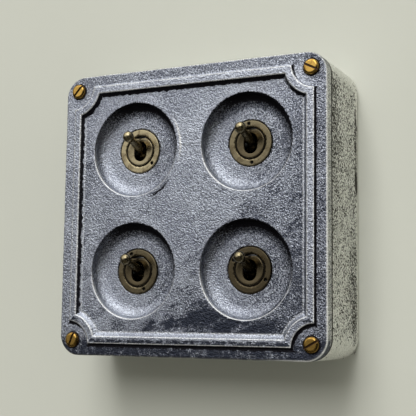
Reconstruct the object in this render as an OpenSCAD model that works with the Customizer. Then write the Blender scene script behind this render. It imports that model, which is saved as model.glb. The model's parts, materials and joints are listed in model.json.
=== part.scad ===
// Surface-mounted four-gang toggle switch in a cast aluminium case.
// The wall is the plane y = 0, the face looks along -Y and +Z is up; the origin is the middle of the back face.
// Parts are drawn lying on their backs, with X right, Y up the wall and Z the height out of the wall,
// and out_of_wall() stands them up.

/* [Case] */
// Side of the square case
case_side = 150; // [146:1:154]
// Height of the margin of the cover above the wall
case_depth = 50; // [50:0.5:54]
// Height of the edge of the cover
cover_edge = 6.5; // [6:0.5:8]
// Radius of the four upright corners
corner_r = 11; // [9:0.5:13]
// Wall thickness of the back box
box_wall = 4; // [3:0.5:5]
// Rounding of the rear edge of the back box
rear_round = 3; // [1:0.5:3.5]
// Rounding of the front edge of the cover
front_round = 0.8; // [0.4:0.2:1.4]

/* [Face moulding] */
// Half the side of the raised moulding, to the middle of its outer slope
moulding_half = 69; // [68:0.25:70]
// Width of the raised moulding
moulding_w = 4.7; // [3.5:0.1:6]
// Height of the moulding above the margin
moulding_rise = 1.5; // [0.8:0.1:2]
// Radius of the hollow corner that the moulding leaves around each cover screw
notch_r = 11.7; // [10.5:0.1:13]
// Depth of the inner field below the margin
field_drop = 0.6; // [0.2:0.1:1]

/* [Dishes] */
// Distance between neighbouring switch centres
switch_pitch = 64; // [60:1:64]
// Height of the middle of the four switches above the middle of the case
switch_lift = 1; // [0:0.5:1.5]
// Radius of a dish at its rim
dish_r = 24.7; // [23:0.1:25.5]
// Depth of a dish floor below the margin
dish_depth = 7; // [6.5:0.1:7.5]
// Radius of the hollow between a dish's wall and its floor
dish_hollow = 5.4; // [3:0.1:5.5]
// Thickness of the casting behind a dish floor
dish_wall = 3; // [2.5:0.1:3]

/* [Cover screws] */
// Distance of a cover screw from both centre lines
screw_offset = 67; // [66:0.5:68]
// Radius of a cover screw head
screw_head_r = 4; // [3.5:0.1:4.3]
// How far each slot has turned: top left, top right, bottom left, bottom right
slot_turns = [47, -27, 68, 30];

/* [Toggle] */
// Tilt of each lever away from straight out, at rest and thrown
lever_tilt = 18.5; // [14:0.5:19]
// Distance from the pivot to the middle of the ball
lever_reach = 17.7; // [16:0.1:19]
// Radius of the ball
ball_r = 2.95; // [2.6:0.05:3.2]
// Outer radius of the dress ring
ring_r = 11.75; // [11.5:0.05:12.5]
// Thickness of the dress ring
ring_t = 1.8; // [1.6:0.1:2.2]
// Depth of the seat that each dress ring lies in, below the dish floor
ring_seat = 1.2; // [0.8:0.1:1.4]
// Turn of the two spanner holes in each ring: top left, top right, bottom left, bottom right
ring_turns = [-43, 95, 113, 150];
// Radius of the threaded bush
bush_r = 8; // [7.8:0.05:8]
// Swing of the moving contact away from level
rocker_tilt = 10; // [9:0.5:10]

/* [Back box] */
// Spacing of the four wall fixing holes, both ways
fixing_spacing = 100; // [94:1:106]
// Radius of a wall fixing hole
fixing_r = 2.75; // [2.25:0.25:3]
// Radius of the cable bore in the grommet
cable_r = 7; // [5:0.5:7.5]

/* [Hidden] */
$fn = 96;
over = 1;              // how far a cutting tool runs past the surface it cuts
slip = 0.05;           // radial clearance of a pin or a plunger in its hole
GANGS = ["top_left", "top_right", "bottom_left", "bottom_right"];
CORNERS = [[-1, 1], [1, 1], [-1, -1], [1, -1]];

joint_h = case_depth - cover_edge;                // height of the joint between box and cover
field_h = case_depth - field_drop;
dish_floor_h = case_depth - dish_depth;
dish_back_h = dish_floor_h - dish_wall;
seat_h = dish_floor_h - ring_seat;
ring_h = seat_h + ring_t;                         // front of the dress ring and of the bush
case_half = case_side / 2;
cover_skirt = 5;                                  // width of the cover's rim, behind its margin
cover_plate = 4.4;                                // thickness of the cover's margin
ring_gap = 0.25;                                  // between a dress ring and the wall of its seat

// cover screws, with threads drawn plain
shank_r = 2;
shank_clearance = 0.25;
thread_gap = 0.05;
shank_l = 18;
boss_r = 6.5;

// lever and bush
pivot_drop = 4.5;                                 // pivot height below the ring's front
pivot_h = ring_h - pivot_drop;
pin_r = 1.2;
hub_r = 3.3;
bush_wall = 2;
bush_bore_r = bush_r - bush_wall;
bush_face_t = 1.6;
bush_flat = 7.2;                                  // height of the flat along the bush, from its axis
slot_w = 7.2;
slot_l = 10.7;
tail_r = 2.6;
tail_l = 8;
tail_bore_r = 1.7;
tail_bore_start = 1.9;

// plunger and spring, measured along the lever's axis from the pivot
plunger_top = 6;
plunger_tip_centre = 10.5;
plunger_tip_r = 1.5;
spring_wire_r = 0.22;
spring_coil_r = 1.2;
spring_turns = 4;

// stack behind the dish
washer_t = 0.8;
nut_t = 2.6;
nut_across_flats = 20;
frame_t = 1.2;
frame_top_h = ring_h - 9;
shoulder_r = 9.4;
shoulder_t = 1.2;
bush_base_h = frame_top_h - frame_t - shoulder_t;

// housing
housing_w = 23;
housing_l = 30;
housing_base_h = ring_h - 29;
housing_floor_h = housing_base_h + 2.5;
cavity_w = 16;
cavity_l = 24;

// rocker: a bent strip whose wings are angled so that the plunger's tip rests on one of them
rocker_h = ring_h - 18.8;
rocker_w = 6;
rocker_t = 0.8;
rocker_rise = 1.4;                                // front of the strip above its pivot
seat_gap = 0.15;                                  // between the plunger and the wing it rests on
rocker_arm = 7;
rocker_barrel_r = 1.3;
trunnion_r = 0.8;
trunnion_reach = 4.4;
tip_y = plunger_tip_centre * sin(lever_tilt);
tip_h = pivot_h - plunger_tip_centre * cos(lever_tilt);
seat_a = tip_y - rocker_rise * sin(rocker_tilt);
seat_b = tip_h - rocker_h - rocker_rise * cos(rocker_tilt);
wing_slope = acos((plunger_tip_r + seat_gap) / norm([seat_a, seat_b])) - atan2(seat_a, seat_b);
wing_angle = wing_slope + rocker_tilt;

// contacts
button_r = 1.2;
button_t = 0.7;
button_at = 6;                                    // distance of a button from the rocker's pivot, along the wing
terminal_w = 7;
terminal_h = 5.5;
terminal_pitch = 10;
wire_r = 1.6;
clamp_r = 1.5;

// back box
entry_r = 10;                                     // hole for the grommet
entry_at = [0, 40];
earth_at = [0, -55];
earth_boss_r = 5.5;
earth_boss_h = 9;

PER_SWITCH = [
    "lever", "pivot_pin", "bush", "dress_ring", "frame", "housing",
    "rocker", "plunger", "spring", "common_contact", "throw_contacts",
];

// ---- placing ----

// stands a part drawn on its back up against the wall
module out_of_wall() {
    rotate([90, 0, 0]) children();
}

// moves a switch part to the place of switch number i
module at_switch(i) {
    translate(concat(CORNERS[i] * switch_pitch / 2 + [0, switch_lift], 0)) children();
}

module at_each_switch() {
    for (i = [0:3]) at_switch(i) children();
}

// turns what is drawn along +Z from the pivot to the lever's tilt, up the wall
module tilted_with_lever() {
    translate([0, 0, pivot_h]) rotate([-lever_tilt, 0, 0]) children();
}

// turns what is drawn level about the rocker's pivot to its tilt at rest
module tilted_with_rocker() {
    translate([0, 0, rocker_h]) rotate([rocker_tilt, 0, 0]) children();
}

// ---- shapes that repeat ----

// half the section of a slab whose upper edge is rounded
module slab_section(half, thick, edge_r) {
    square([half, thick - edge_r]);
    square([half - edge_r, thick]);
    translate([half - edge_r, thick - edge_r]) circle(edge_r);
}

module rounded_square(half, r) {
    for (corner = CORNERS) translate(corner * (half - r)) circle(r);
    square([2 * half, 2 * (half - r)], center = true);
    square([2 * (half - r), 2 * half], center = true);
}

// a square slab with round corners and a rounded upper edge
module rounded_slab(half, thick, r, edge_r) {
    for (corner = CORNERS)
        translate(corner * (half - r)) rotate_extrude() intersection() {
            slab_section(r, thick, edge_r);
            square([r, thick]);
        }
    for (turn = [0, 90])
        rotate([90, 0, turn]) linear_extrude(2 * (half - r), center = true) {
            slab_section(half, thick, edge_r);
            mirror([1, 0]) slab_section(half, thick, edge_r);
        }
}

// a square with a round bite out of each corner, centred on the corner
module notched_square(half, centre, bite_r) {
    difference() {
        square(2 * half, center = true);
        for (corner = CORNERS) translate(corner * centre) circle(bite_r);
    }
}

// a slot with round ends along Y
module long_slot(width, length) {
    for (side = [-1, 1]) translate([0, side * (length - width) / 2]) circle(width / 2);
    square([width, length - width], center = true);
}

// a circle with a flat across its top
module flatted_circle(r, flat) {
    intersection() {
        circle(r);
        translate([-r, -r]) square([2 * r, r + flat]);
    }
}

// a slotted round-edged screw head on the plane z = 0
module slotted_head(r, thick, turn) {
    slot_share = 0.17;
    difference() {
        rotate_extrude() intersection() {
            slab_section(r, thick, thick * 0.35);
            square([r, thick]);
        }
        rotate([0, 0, turn]) translate([0, 0, thick]) cube([2 * r + over, 2 * r * slot_share, thick], center = true);
    }
}

// ---- case ----

module dish_cut() {
    depth = dish_depth + over;
    translate([0, 0, dish_floor_h]) rotate_extrude() {
        translate([0, dish_hollow]) square([dish_r, depth - dish_hollow]);
        square([dish_r - dish_hollow, depth]);
        intersection() {
            translate([dish_r - dish_hollow, dish_hollow]) circle(dish_hollow);
            square([dish_r, depth]);
        }
    }
}

module front_cover() {
    field_half = moulding_half - moulding_w;
    pocket_half = case_half - cover_skirt;
    pocket_top = case_depth - cover_plate;
    color("slategray") out_of_wall() difference() {
        union() {
            difference() {
                union() {
                    translate([0, 0, joint_h]) rounded_slab(case_half, cover_edge, corner_r, front_round);
                    translate([0, 0, joint_h]) linear_extrude(cover_edge + moulding_rise)
                        notched_square(moulding_half, moulding_half, notch_r);
                }
                translate([0, 0, field_h]) linear_extrude(moulding_rise + field_drop + over)
                    notched_square(field_half, moulding_half, notch_r + moulding_w);
                translate([0, 0, joint_h - over]) linear_extrude(pocket_top - joint_h + over) difference() {
                    rounded_square(pocket_half, corner_r - cover_skirt);
                    for (corner = CORNERS) translate(corner * screw_offset) circle(boss_r);
                }
            }
            at_each_switch() translate([0, 0, dish_back_h])
                cylinder(r = dish_r + dish_wall, h = field_h - dish_back_h);
        }
        at_each_switch() {
            dish_cut();
            translate([0, 0, seat_h]) cylinder(r = ring_r + ring_gap, h = ring_seat + over);
            translate([0, 0, dish_back_h - over]) cylinder(r = bush_r + 0.15, h = dish_wall + 2 * over);
        }
        for (corner = CORNERS) translate(concat(corner * screw_offset, joint_h - over))
            cylinder(r = shank_r + shank_clearance, h = cover_edge + 2 * over);
    }
}

module back_box() {
    inner_half = case_half - box_wall;
    boss_bore_l = shank_l - cover_edge + 2;
    color("gainsboro") out_of_wall() difference() {
        union() {
            difference() {
                translate([0, 0, joint_h]) mirror([0, 0, 1])
                    rounded_slab(case_half, joint_h, corner_r, rear_round);
                translate([0, 0, box_wall]) linear_extrude(joint_h) difference() {
                    rounded_square(inner_half, corner_r - box_wall);
                    for (corner = CORNERS) translate(corner * screw_offset) circle(boss_r);
                }
            }
            translate(concat(earth_at, box_wall - over / 2)) cylinder(r = earth_boss_r, h = earth_boss_h - box_wall + over / 2);
        }
        for (corner = CORNERS) {
            translate(concat(corner * screw_offset, joint_h - boss_bore_l))
                cylinder(r = shank_r + thread_gap, h = boss_bore_l + over);
            translate(concat(corner * fixing_spacing / 2, -over)) cylinder(r = fixing_r, h = box_wall + 2 * over);
        }
        translate(concat(entry_at, -over)) cylinder(r = entry_r, h = box_wall + 2 * over);
        translate(concat(earth_at, box_wall / 2)) cylinder(r = shank_r + thread_gap, h = earth_boss_h);
    }
}

module cover_screws() {
    head_t = 2;
    color("goldenrod") out_of_wall() for (i = [0:3])
        translate(concat(CORNERS[i] * screw_offset, case_depth)) {
            slotted_head(screw_head_r, head_t, slot_turns[i]);
            translate([0, 0, -shank_l]) cylinder(r = shank_r, h = shank_l + head_t / 4);
        }
}

// a rubber ring with a groove that grips the edge of the cable entry
module cable_grommet() {
    lip_r = entry_r + 2.5;
    lip_t = 2;
    color("dimgray") out_of_wall() translate(entry_at) difference() {
        union() {
            cylinder(r = entry_r - thread_gap, h = box_wall + lip_t);
            translate([0, 0, box_wall]) cylinder(r = lip_r, h = lip_t);
        }
        translate([0, 0, -over]) cylinder(r = cable_r, h = box_wall + lip_t + 2 * over);
    }
}

module earth_washer() {
    color("gold") out_of_wall() translate(concat(earth_at, earth_boss_h)) difference() {
        cylinder(r = 4.6, h = 0.8);
        translate([0, 0, -over]) cylinder(r = shank_r + 0.15, h = 0.8 + 2 * over);
    }
}

module earth_screw() {
    washer_top = earth_boss_h + 0.8;
    color("goldenrod") out_of_wall() translate(concat(earth_at, washer_top)) {
        slotted_head(screw_head_r, 2, 0);
        translate([0, 0, box_wall / 2 + 0.5 - washer_top]) cylinder(r = shank_r, h = washer_top - box_wall / 2);
    }
}

// ---- toggle, outside ----

module lever() {
    neck_r = 1.5;
    root_r = 2.55;
    root_at = 1.6;
    color("darkkhaki") tilted_with_lever() difference() {
        union() {
            sphere(hub_r);
            translate([0, 0, root_at]) cylinder(r1 = root_r, r2 = neck_r, h = lever_reach - root_at);
            translate([0, 0, lever_reach]) sphere(ball_r);
            translate([0, 0, -tail_l]) cylinder(r = tail_r, h = tail_l);
        }
        rotate([0, 90, 0]) cylinder(r = pin_r + slip, h = 4 * hub_r, center = true);
        translate([0, 0, -tail_l - over]) cylinder(r = tail_bore_r, h = tail_l + over - tail_bore_start);
    }
}

module pivot_pin() {
    length = 14.6;
    color("silver") translate([0, 0, pivot_h]) rotate([0, 90, 0]) cylinder(r = pin_r, h = length, center = true);
}

module bush() {
    color("darkkhaki") difference() {
        union() {
            translate([0, 0, bush_base_h]) linear_extrude(ring_h - bush_base_h) flatted_circle(bush_r, bush_flat);
            translate([0, 0, bush_base_h]) cylinder(r = shoulder_r, h = shoulder_t);
        }
        translate([0, 0, bush_base_h - over])
            cylinder(r = bush_bore_r, h = ring_h - bush_face_t - bush_base_h + over);
        translate([0, 0, ring_h - 2 * bush_face_t]) linear_extrude(3 * bush_face_t) long_slot(slot_w, slot_l);
        translate([0, 0, pivot_h]) rotate([0, 90, 0])
            cylinder(r = pin_r + slip / 2, h = 2 * bush_r + over, center = true);
    }
}

module dress_ring(turn) {
    bore_r = bush_r + thread_gap;
    hole_r = 0.9;
    hole_at = 10;
    hole_depth = 1.2;
    bevel = 0.35;
    color("darkkhaki") translate([0, 0, seat_h]) difference() {
        rotate_extrude() polygon([
            [bore_r, 0], [ring_r, 0], [ring_r, ring_t - bevel], [ring_r - bevel, ring_t],
            [bore_r + bevel, ring_t], [bore_r, ring_t - bevel],
        ]);
        for (side = [0, 180]) rotate([0, 0, turn + side])
            translate([hole_at, 0, ring_t - hole_depth]) cylinder(r = hole_r, h = hole_depth + over);
    }
}

// ---- toggle, behind the dish ----

module tab_washers() {
    color("silver") out_of_wall() at_each_switch()
        translate([0, 0, dish_back_h - washer_t]) linear_extrude(washer_t) difference() {
            circle(bush_r + 3);
            flatted_circle(bush_r + thread_gap, bush_flat + thread_gap);
        }
}

module lock_nuts() {
    color("khaki") out_of_wall() at_each_switch()
        translate([0, 0, dish_back_h - washer_t - nut_t]) difference() {
            cylinder(r = nut_across_flats / 2 / cos(30), h = nut_t, $fn = 6);
            translate([0, 0, -over]) cylinder(r = bush_r + thread_gap, h = nut_t + 2 * over);
        }
}

// a sheet steel cradle: a plate under the nut, and two lugs bent under the housing
module frame() {
    lug_l = 14;
    lug_grip = 4;
    lug_foot_h = housing_base_h - frame_t;
    plate_w = housing_w + 2 * frame_t;
    color("lightsteelblue") difference() {
        union() {
            translate([-plate_w / 2, -housing_l / 2, frame_top_h - frame_t]) cube([plate_w, housing_l, frame_t]);
            for (side = [0, 1]) mirror([side, 0, 0]) {
                translate([housing_w / 2, -lug_l / 2, lug_foot_h]) cube([frame_t, lug_l, frame_top_h - lug_foot_h]);
                translate([housing_w / 2 - lug_grip, -lug_l / 2, lug_foot_h])
                    cube([lug_grip + frame_t, lug_l, frame_t]);
            }
        }
        translate([0, 0, frame_top_h - frame_t - over]) cylinder(r = bush_r + thread_gap, h = frame_t + 2 * over);
    }
}

module housing() {
    top_h = frame_top_h - frame_t;
    leg_hole = [2.2, 4.2];
    color("saddlebrown") difference() {
        translate([-housing_w / 2, -housing_l / 2, housing_base_h])
            cube([housing_w, housing_l, top_h - housing_base_h]);
        translate([-cavity_w / 2, -cavity_l / 2, housing_floor_h]) cube([cavity_w, cavity_l, top_h]);
        translate([0, 0, bush_base_h]) cylinder(r = shoulder_r + 0.1, h = top_h);
        for (y = [-1, 0, 1] * terminal_pitch)
            translate([-leg_hole.x / 2, y - leg_hole.y / 2, housing_base_h - over])
                cube([leg_hole.x, leg_hole.y, 2 * over + housing_floor_h - housing_base_h]);
    }
}

// the moving contact: a gull-winged strip on a barrel whose stub ends turn in the common contact's ears
module rocker() {
    color("orange") tilted_with_rocker() {
        rotate([0, 90, 0]) cylinder(r = rocker_barrel_r, h = rocker_w, center = true);
        rotate([0, 90, 0]) cylinder(r = trunnion_r, h = 2 * trunnion_reach, center = true);
        for (side = [0, 1]) mirror([0, side, 0]) translate([0, 0, rocker_rise]) rotate([wing_angle, 0, 0]) {
            translate([-rocker_w / 2, 0, -rocker_t]) cube([rocker_w, rocker_arm, rocker_t]);
            translate([0, button_at, -rocker_t - button_t]) cylinder(r = button_r, h = button_t + rocker_t / 2);
        }
        translate([-rocker_w / 2, -0.6, 0.4]) cube([rocker_w, 1.2, rocker_rise - 0.4]);
    }
}

module plunger() {
    color("ivory") tilted_with_lever() {
        translate([0, 0, -plunger_tip_centre]) cylinder(r = tail_bore_r - slip, h = plunger_tip_centre - plunger_top);
        translate([0, 0, -plunger_tip_centre]) sphere(plunger_tip_r);
    }
}

// a coil of half rings, each tilted so that its end meets the start of the next
module spring() {
    rise = (plunger_top - tail_bore_start - 2 * spring_wire_r - slip) / (2 * spring_turns);
    color("gray") tilted_with_lever() translate([0, 0, -plunger_top + spring_wire_r + slip / 2])
        for (half = [0 : 2 * spring_turns - 1])
            translate([0, 0, (half + 0.5) * rise]) rotate([0, 0, 180 * half])
                rotate([0, asin(rise / (2 * spring_coil_r)), 0])
                    rotate_extrude(angle = 180, $fn = 12)
                        translate([spring_coil_r, 0]) circle(spring_wire_r, $fn = 6);
}

// a terminal under the housing floor, with its leg up through the floor
module terminal(y, leg_top_h) {
    difference() {
        translate([-terminal_w / 2, y - terminal_w / 2, housing_base_h - terminal_h])
            cube([terminal_w, terminal_w, terminal_h]);
        translate([0, y, housing_base_h - terminal_h / 2]) rotate([0, 90, 0])
            cylinder(r = wire_r, h = terminal_w + over, center = true);
        translate([0, y, housing_base_h - terminal_h - over])
            cylinder(r = clamp_r + thread_gap, h = terminal_h / 2 + over);
    }
    translate([-1, y - 2, housing_base_h - over]) cube([2, 4, leg_top_h - housing_base_h + over]);
}

module common_contact() {
    ear_t = 0.8;
    ear_in = rocker_w / 2 + 0.3;
    ear_l = 4;
    base_t = 1;
    ear_top_h = rocker_h + 1.8;
    color("orange") difference() {
        union() {
            terminal(0, housing_floor_h + base_t / 2);
            translate([-ear_in - ear_t, -ear_l / 2, housing_floor_h]) cube([2 * (ear_in + ear_t), ear_l, base_t]);
            for (side = [0, 1]) mirror([side, 0, 0])
                translate([ear_in, -ear_l / 2, housing_floor_h]) cube([ear_t, ear_l, ear_top_h - housing_floor_h]);
        }
        translate([0, 0, rocker_h]) rotate([0, 90, 0])
            cylinder(r = trunnion_r + slip, h = 2 * trunnion_reach + over, center = true);
    }
}

// a post whose top is cut to the slope of the wing that lands on it
module throw_contact() {
    post_w = 4;
    post_l = 3;
    land_y = button_at * cos(wing_slope) + (rocker_rise * sin(rocker_tilt)) + (rocker_t + button_t) * sin(wing_slope);
    land_h = rocker_h + rocker_rise * cos(rocker_tilt) + button_at * sin(wing_slope)
        - (rocker_t + button_t + slip) * cos(wing_slope);
    rise = tan(wing_slope) * post_l / 2;
    terminal(terminal_pitch, housing_floor_h + 0.5);
    translate([-post_w / 2, 0, 0]) rotate([90, 0, 90]) linear_extrude(post_w) polygon([
        [land_y - post_l / 2, housing_floor_h], [terminal_pitch + 2, housing_floor_h],
        [terminal_pitch + 2, housing_floor_h + 1], [land_y + post_l / 2, housing_floor_h + 1],
        [land_y + post_l / 2, land_h + rise], [land_y - post_l / 2, land_h - rise],
    ]);
}

module throw_contacts() {
    color("orange") for (side = [0, 1]) mirror([0, side, 0]) throw_contact();
}

module terminal_screws() {
    head_r = 2.4;
    head_t = 1.4;
    length = terminal_h / 2 - wire_r;
    color("silver") out_of_wall() at_each_switch() for (y = [-1, 0, 1] * terminal_pitch)
        translate([0, y, housing_base_h - terminal_h]) mirror([0, 0, 1]) {
            slotted_head(head_r, head_t, 0);
            translate([0, 0, -length]) cylinder(r = clamp_r, h = length + head_t / 4);
        }
}

// ---- what is drawn ----

module switch_piece(piece, i) {
    out_of_wall() at_switch(i) {
        if (piece == "lever") lever();
        if (piece == "pivot_pin") pivot_pin();
        if (piece == "bush") bush();
        if (piece == "dress_ring") dress_ring(ring_turns[i]);
        if (piece == "frame") frame();
        if (piece == "housing") housing();
        if (piece == "rocker") rocker();
        if (piece == "plunger") plunger();
        if (piece == "spring") spring();
        if (piece == "common_contact") common_contact();
        if (piece == "throw_contacts") throw_contacts();
    }
}

front_cover();
back_box();
cover_screws();
cable_grommet();
earth_screw();
earth_washer();
tab_washers();
lock_nuts();
terminal_screws();
for (piece = PER_SWITCH, i = [0:3])
    switch_piece(piece, i);
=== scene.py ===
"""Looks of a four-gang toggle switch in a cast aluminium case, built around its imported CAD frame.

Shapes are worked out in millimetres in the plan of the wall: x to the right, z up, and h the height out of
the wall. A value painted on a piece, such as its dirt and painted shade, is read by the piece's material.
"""
import json
import math

import bmesh
import bpy
import numpy as np
from mathutils import Matrix, Vector, noise
from mathutils.geometry import delaunay_2d_cdt
from mathutils.kdtree import KDTree


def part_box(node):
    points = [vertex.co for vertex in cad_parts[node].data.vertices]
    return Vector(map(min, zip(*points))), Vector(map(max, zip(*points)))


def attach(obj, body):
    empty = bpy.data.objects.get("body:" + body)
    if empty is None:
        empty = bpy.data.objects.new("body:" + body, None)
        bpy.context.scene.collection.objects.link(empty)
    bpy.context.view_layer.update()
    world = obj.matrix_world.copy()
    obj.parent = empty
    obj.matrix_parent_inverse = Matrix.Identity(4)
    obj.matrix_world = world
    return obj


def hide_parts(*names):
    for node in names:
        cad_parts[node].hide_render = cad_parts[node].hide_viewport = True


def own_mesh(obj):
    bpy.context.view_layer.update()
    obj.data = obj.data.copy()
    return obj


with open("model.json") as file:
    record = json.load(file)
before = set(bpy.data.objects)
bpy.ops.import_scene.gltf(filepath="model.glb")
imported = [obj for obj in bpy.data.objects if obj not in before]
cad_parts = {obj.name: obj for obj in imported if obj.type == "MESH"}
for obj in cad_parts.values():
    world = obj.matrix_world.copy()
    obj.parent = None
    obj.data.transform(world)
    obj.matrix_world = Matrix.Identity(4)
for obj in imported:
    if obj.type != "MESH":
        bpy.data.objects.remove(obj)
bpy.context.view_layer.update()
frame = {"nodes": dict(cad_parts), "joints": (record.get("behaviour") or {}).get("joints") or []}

MM = 0.001
GANGS = ("top_left", "top_right", "bottom_left", "bottom_right")
rng = np.random.default_rng(7)


# ---- sizes, in millimetres, read from the frame where it has them ----

def plan_box(node):
    """Lowest and highest (x, z, h) of a CAD node."""
    low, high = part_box(node)
    return np.array([low.x, low.z, -high.y]) / MM, np.array([high.x, high.z, -low.y]) / MM


def plan_centre(node):
    low, high = plan_box(node)
    return (low[:2] + high[:2]) / 2


COVER_LOW, COVER_HIGH = plan_box("front_cover")
RING_LOW, RING_HIGH = plan_box("dress_ring_top_left")
SCREWS_LOW, SCREWS_HIGH = plan_box("cover_screws")
CASE_HALF = COVER_HIGH[0]
JOINT_H = plan_box("back_box")[1][2]
MOULDING_RISE = 1.5
FIELD_DROP = 0.6
MARGIN_H = COVER_HIGH[2] - MOULDING_RISE
FIELD_H = MARGIN_H - FIELD_DROP
DISH_BACK_H = COVER_LOW[2]
SEAT_H, RING_H = RING_LOW[2], RING_HIGH[2]
SWITCH_PLACES = {gang: plan_centre(f"dress_ring_{gang}") for gang in GANGS}
SWITCH_MIDDLE = sum(SWITCH_PLACES.values()) / 4
RING_R = RING_HIGH[0] - SWITCH_PLACES["top_left"][0]

CORNER_R = 11.0
FRONT_ROUND = 0.8
REAR_ROUND = 3.0
JOINT_ROUND = 0.4
BOX_WALL = 4.0
POCKET_HALF = 70.0
POCKET_TOP_H = 45.6
BOSS_R = 6.5

HEAD_R = 4.0
HEAD_T = 2.0
SHANK_R = 2.0
SHANK_END_H = SCREWS_LOW[2]
SCREW_OFFSET = SCREWS_HIGH[0] - HEAD_R
CORNERS = np.array([(-1, 1), (1, 1), (-1, -1), (1, -1)])
SCREW_PLACES = CORNERS * SCREW_OFFSET
SLOT_TURNS = dict(zip(GANGS, (47, -27, 68, 30)))
COVER_HOLE_R = 2.25
THREAD_R = 2.05
THREAD_END_H = 30.0

MOULDING_FOOT = 69.35
MOULDING_W = 6.75
MOULDING_SLOPE_W = 0.85
MOULDING_HOLLOW_W = 2.4
MOULDING_SIDE_L = 115
NOTCH_CENTRE = 69.0
NOTCH_R = 11.35
NOTCH_L = 22

DISH_R = 24.7
DISH_FLOOR_H = MARGIN_H - 7.0
SEAT_R = RING_R + 0.25
DISH_HOLLOW_W = 6.8
DISH_HOLLOW_D = 5.0
DISH_SHELL_R = 27.7
RIM_ROUND = 0.5
BUSH_HOLE_R = 8.15
TOOL_MARK_R = 27.3
RING_TURNS = dict(zip(GANGS, (-43, 95, 113, 150)))

FIXING_R = 2.75
FIXING_PLACES = CORNERS * 50.0
ENTRY_R = 10.0
ENTRY_PLACE = plan_centre("cable_grommet")
EARTH_PLACE = plan_centre("earth_washer")
EARTH_BOSS_R = 5.5
EARTH_BOSS_H = plan_box("earth_washer")[0][2]

LEVER_BORE_START = 1.9

# the distance between the points of a cast skin
GRAIN = 0.5


# ---- fields over the plan ----

def smoothstep(low, high, value):
    """0 at low, 1 at high, and smooth between; low may be the greater."""
    t = np.clip((value - low) / (high - low), 0, 1)
    return t * t * (3 - 2 * t)


def hill(value, middle, width):
    """1 in the middle, falling to 0 at a distance of width."""
    return smoothstep(1, 0, np.abs(value - middle) / width)


def bumps(points, size, seed=0):
    """Smooth noise between -1 and 1, with bumps about size across."""
    shift = Vector((17.3, 5.1, 9.7)) * seed
    return np.array([noise.noise(Vector(point) / size + shift) for point in points])


def distance_from(points, centre):
    return np.hypot(points[:, 0] - centre[0], points[:, 1] - centre[1])


def from_screws(points):
    """Distance from the middle of the nearest cover screw."""
    return np.min([distance_from(points, place) for place in SCREW_PLACES], axis=0)


def case_inset(points, half=CASE_HALF, r=CORNER_R):
    """Distance inwards from the side of a square with round corners."""
    beyond = np.abs(points[:, :2]) - (half - r)
    return r - np.hypot(*np.maximum(beyond, 0).T) - np.minimum(beyond.max(axis=1), 0)


def moulding_inset(points):
    """Distance inwards from the outer foot of the moulding, and the way inwards there."""
    across = np.abs(points[:, :2])
    side = MOULDING_FOOT - across.max(axis=1)
    to_notch = across - NOTCH_CENTRE
    from_notch = np.hypot(*to_notch.T)
    bite = from_notch - NOTCH_R
    inwards = np.where((across[:, 0] > across[:, 1])[:, None], [-1.0, 0.0], [0.0, -1.0])
    at_notch = bite < side
    inwards[at_notch] = (to_notch / np.maximum(from_notch, 0.01)[:, None])[at_notch]
    return np.minimum(side, bite), inwards * np.sign(points[:, :2])


def nearest_dish(points):
    """Distance from the middle of the nearest dish, and the angle at which the point lies there."""
    from_middle = points[:, :2] - SWITCH_MIDDLE
    apart = from_middle - np.sign(from_middle) * (SWITCH_PLACES["top_right"] - SWITCH_MIDDLE)
    return np.hypot(*apart.T), np.degrees(np.arctan2(apart[:, 1], apart[:, 0]))


# ---- outlines in the plan ----

def arc(centre, r, start, end, count):
    angles = np.linspace(start, end, count + 1)
    return np.asarray(centre) + r * np.stack([np.cos(angles), np.sin(angles)], 1)


def straight(start, end, count):
    return np.linspace(start, end, count + 1)


def circle(centre, r, count):
    return arc(centre, r, 0, 2 * math.pi, count)[:-1]


def joined(*pieces):
    """An outline from pieces that each start where the last one ended."""
    return np.concatenate([piece[:-1] for piece in pieces])


def four_times(*pieces):
    """A whole outline from the pieces of its first quarter."""
    quarter = joined(*pieces)
    turns = [(math.cos(turn), math.sin(turn)) for turn in np.arange(4) * math.pi / 2]
    return np.concatenate([quarter @ np.array([[c, s], [-s, c]]) for c, s in turns])


def case_loop(inset):
    """The outline of the case; it has as many points at every inset."""
    straight_half = CASE_HALF - CORNER_R
    half, r = CASE_HALF - inset, CORNER_R - inset
    side = straight((half, -straight_half), (half, straight_half), int(2 * straight_half / GRAIN))
    corner = arc((straight_half, straight_half), r, 0, math.pi / 2, int(CORNER_R * math.pi / 2 / GRAIN))
    return four_times(side, corner)


def bitten_square(half, centre, bite_r, side_count, bite_count):
    """A square with a round bite out of each corner, centred on the corner's diagonal."""
    gap = half - centre
    reach = centre - math.sqrt(bite_r ** 2 - gap ** 2)
    start = math.atan2(reach - centre, gap)
    side = straight((half, -reach), (half, reach), side_count)
    bite = arc((centre, centre), bite_r, start, -1.5 * math.pi - start, bite_count)
    return four_times(side, bite)


def moulding_loop(inset):
    side_count, notch_count = int(MOULDING_SIDE_L / GRAIN), int(NOTCH_L / GRAIN)
    return bitten_square(MOULDING_FOOT - inset, NOTCH_CENTRE, NOTCH_R + inset, side_count, notch_count)


def inner_loop(half):
    """The inside of the box or of the cover's rim, with the screw bosses standing in its corners."""
    return bitten_square(half, SCREW_OFFSET, BOSS_R, 20, 16)


def dish_loop(place, r):
    return circle(place, r, int(2 * math.pi * DISH_R / GRAIN))


def hole_loop(place, r):
    return circle(place, r, 36)


def quarter_round(size, steps):
    """(inset, drop) from a face, round its edge, to the side below."""
    turns = np.radians(np.linspace(0, 90, steps + 1))
    return [(size * (1 - math.sin(turn)), size * (1 - math.cos(turn))) for turn in turns]


# ---- meshes ----

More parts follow.
